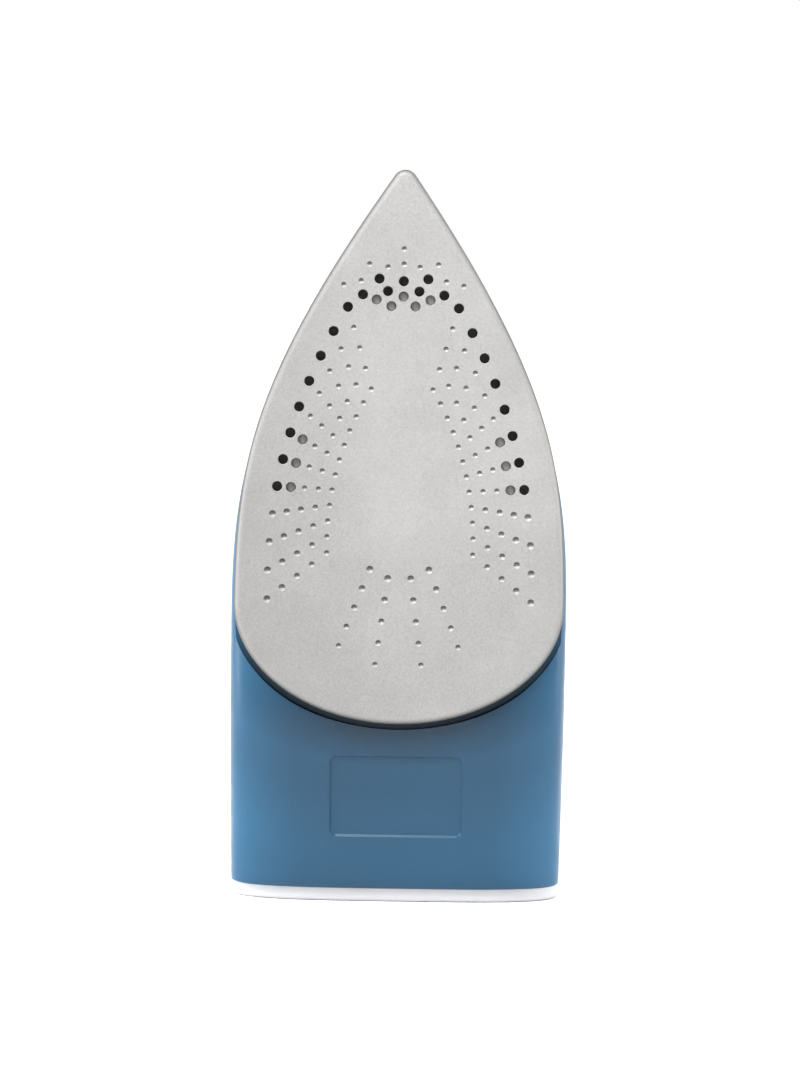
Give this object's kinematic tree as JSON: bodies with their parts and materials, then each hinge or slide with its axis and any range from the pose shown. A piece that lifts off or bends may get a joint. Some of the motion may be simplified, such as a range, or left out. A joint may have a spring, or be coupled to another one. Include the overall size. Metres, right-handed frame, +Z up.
{
  "type": "steam iron",
  "caption": "Steam iron standing on its heel, with a holed soleplate, water tank, loop handle, dial, pump buttons and a ball bush for its cord.",
  "frame": {"origin": "on the surface that the iron stands on, under the middle of its bounding box", "axes": "+Z up, from the heel to the tip; +X across the iron; the soleplate faces -Y and the handle is towards +Y"},
  "size_m": [0.121, 0.1402, 0.2666],
  "materials": {
    "soleplate_alloy": "fine sandblasted, matt",
    "cast_alloy": "as cast",
    "element_sheath": "dull",
    "pressed_steel": "satin",
    "silicone": "matt",
    "ceramic_white": "matt",
    "blue_plastic": "fine texture, satin",
    "tank_plastic": "translucent, gloss",
    "white_plastic": "satin gloss",
    "brass": "satin",
    "grey_plastic": "satin",
    "grip_rubber": "soft touch",
    "hose_rubber": "satin",
    "lamp_lens": "translucent gloss",
    "lamp_glass": "clear",
    "bush_rubber": "matt",
    "wire_insulation": "matt"
  },
  "bodies": {
    "iron": {"soleplate": "soleplate_alloy", "heater_casting": "cast_alloy", "heating_element": "element_sheath", "steam_chamber_cover": "pressed_steel", "casting_screws": "pressed_steel", "sole_gasket": "silicone", "thermostat": "pressed_steel", "thermal_fuse": "ceramic_white", "skirt": "blue_plastic", "water_tank": "tank_plastic", "tank_base": "white_plastic", "flap_pin": "pressed_steel", "valve_guide": "white_plastic", "valve_seat": "brass", "spray_nozzle": "grey_plastic", "spray_pipe": "white_plastic", "rear_housing": "white_plastic", "handle_shell": "white_plastic", "handle_cover": "blue_plastic", "grip_insert": "grip_rubber", "steam_pump": "white_plastic", "spray_pump": "white_plastic", "pump_hoses": "hose_rubber", "pilot_lamp_lens": "lamp_lens", "pilot_lamp": "lamp_glass", "rear_cover": "white_plastic", "rear_cover_screws": "pressed_steel", "terminal_block": "ceramic_white", "terminal_screws": "brass", "internal_wires": "wire_insulation", "steam_button_spring": "pressed_steel", "spray_button_spring": "pressed_steel"},
    "filler_flap": {"filler_flap": "blue_plastic"},
    "steam_knob": {"steam_knob": "grey_plastic"},
    "valve_rod": {"valve_rod": "pressed_steel"},
    "steam_button": {"steam_button": "grey_plastic"},
    "spray_button": {"spray_button": "grey_plastic"},
    "temperature_dial": {"temperature_dial": "grey_plastic", "dial_shaft": "pressed_steel"},
    "cord_collar": {"cord_collar": "white_plastic"},
    "cord_bush": {"cord_bush": "bush_rubber"}
  },
  "joints": [
    {"name": "filler_flap_hinge", "type": "hinge", "parent": "iron", "child": "filler_flap", "pos_m": [0, 0.01753, 0.20549], "axis": [-1, 0, 0], "range_deg": [0, 95]},
    {"name": "steam_knob_turn", "type": "hinge", "parent": "iron", "child": "steam_knob", "pos_m": [0, 0.04702, 0.1905], "axis": [0, -0.5791, -0.8153], "range_deg": [0, 150]},
    {"name": "valve_rod_lift", "type": "slide", "parent": "iron", "child": "valve_rod", "axis": [0, 0.989, -0.1478], "range_m": [0, 0.003]},
    {"name": "steam_button_press", "type": "slide", "parent": "iron", "child": "steam_button", "axis": [0, -0.9705, -0.2409], "range_m": [0, 0.003], "stiffness_N_per_m": 800, "springref_m": -0.002, "deforming": ["steam_button_spring"]},
    {"name": "spray_button_press", "type": "slide", "parent": "iron", "child": "spray_button", "axis": [0, -0.9705, -0.2409], "range_m": [0, 0.003], "stiffness_N_per_m": 800, "springref_m": -0.002, "deforming": ["spray_button_spring"]},
    {"name": "dial_turn", "type": "hinge", "parent": "iron", "child": "temperature_dial", "pos_m": [0, -0.00155, 0.09813], "axis": [0, -0.989, 0.1478], "range_deg": [0, 270]},
    {"name": "cord_swivel", "type": "hinge", "parent": "iron", "child": "cord_collar", "pos_m": [0, 0.04039, 0.03586], "axis": [0, 0.7759, -0.6309], "continuous": true},
    {"name": "cord_tilt", "type": "hinge", "parent": "cord_collar", "child": "cord_bush", "pos_m": [0, 0.04039, 0.03586], "axis": [1, 0, 0], "range_deg": [-28, 28]}
  ],
  "couplings": [
    {"joint": "steam_knob_turn", "follows": "valve_rod_lift", "rad_per_m": 872.66}
  ]
}
